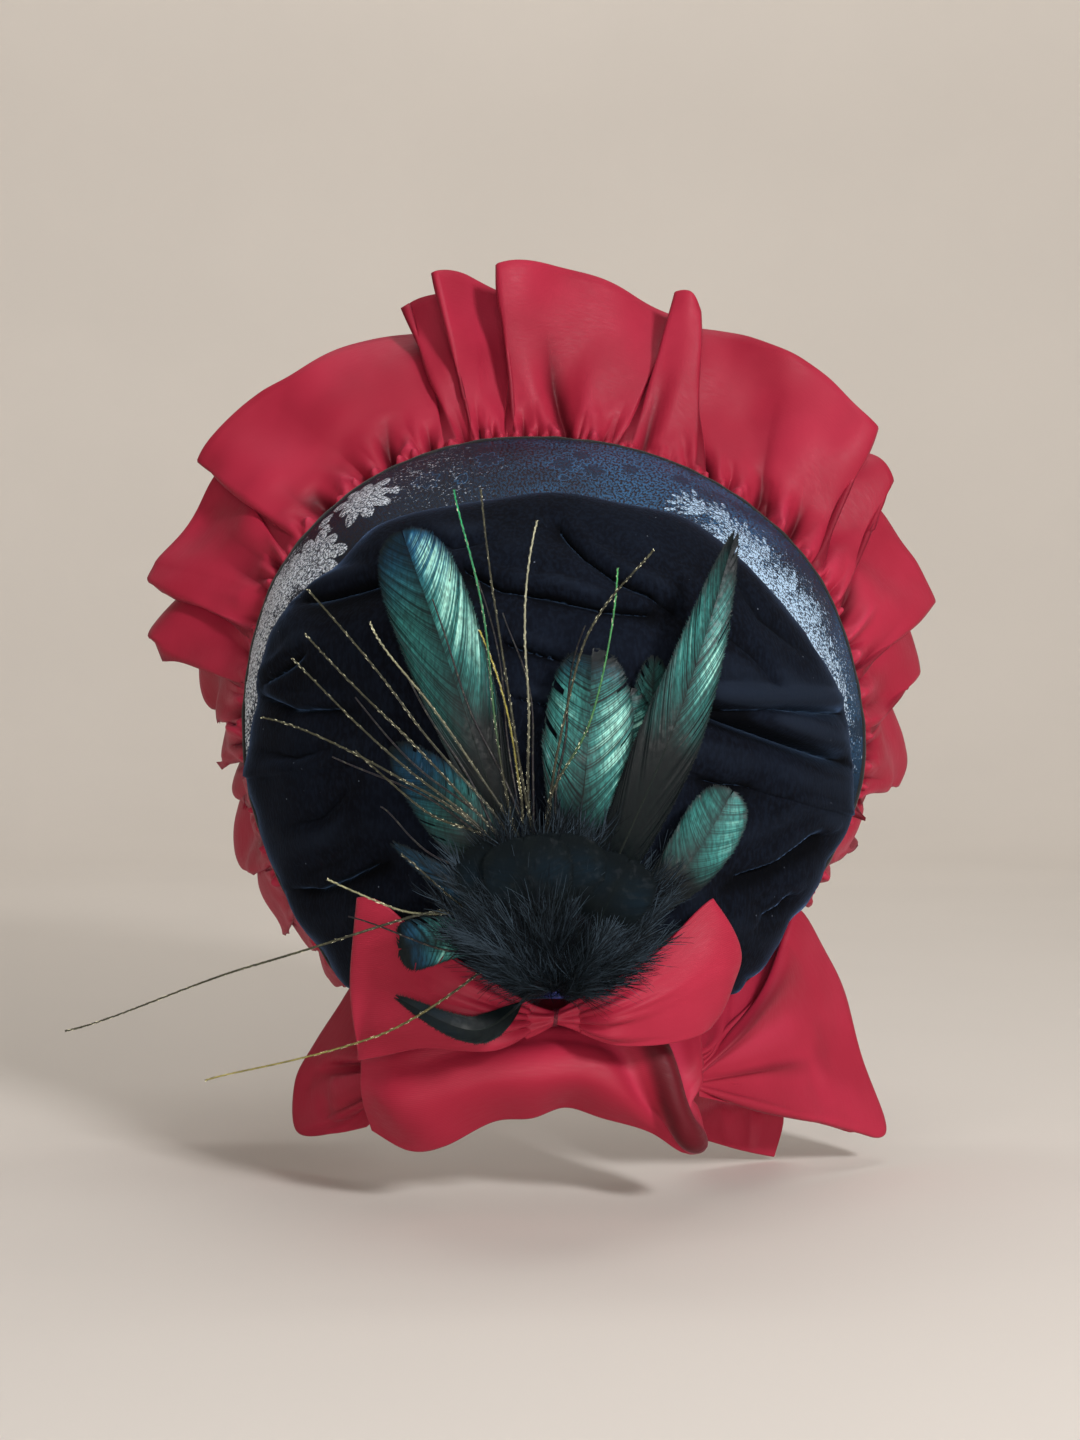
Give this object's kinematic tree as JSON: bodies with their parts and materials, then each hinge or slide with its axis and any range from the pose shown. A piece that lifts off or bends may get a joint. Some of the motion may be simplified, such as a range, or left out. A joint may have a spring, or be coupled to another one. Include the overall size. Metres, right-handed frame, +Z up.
{
  "type": "bonnet",
  "caption": "Handmade bonnet that covers the back of the head: draped velvet crown, brocade brim, gathered satin ruffle, nape bow with a short curtain and ties, and a feather spray.",
  "frame": {"origin": "the middle of the head hollow, where the bonnet sits on the head", "axes": "+X to the wearer's right, +Y the way the wearer faces, +Z up"},
  "size_m": [0.2802, 0.1942, 0.3028],
  "materials": {
    "velvet": "black silk velvet, deep pile",
    "brocade": "black and silver floral brocade",
    "binding": "black bias tape",
    "satin": "red satin",
    "feather": "blue and green feather sheen",
    "herl": "olive gold feather strands",
    "down": "black down",
    "thread": "navy thread"
  },
  "bodies": {
    "root": {"crown": "velvet", "brim": "brocade", "edge_binding": "binding", "ruffle": "satin", "curtain": "satin", "bow_loop_left": "satin", "bow_loop_right": "satin", "bow_knot": "satin", "tie_left": "satin", "tie_right": "satin", "tie_tail": "satin", "feather_tall_left": "feather", "feather_tall_right": "feather", "feather_centre": "feather", "feather_centre_right": "feather", "feather_grey": "feather", "feather_round_right": "feather", "feather_low_left": "feather", "feather_pointed_left": "feather", "feather_fan": "feather", "feather_crescent": "feather", "herl_spray": "herl", "marabou_tuft": "down", "thread_wrap": "thread"}
  },
  "joints": []
}
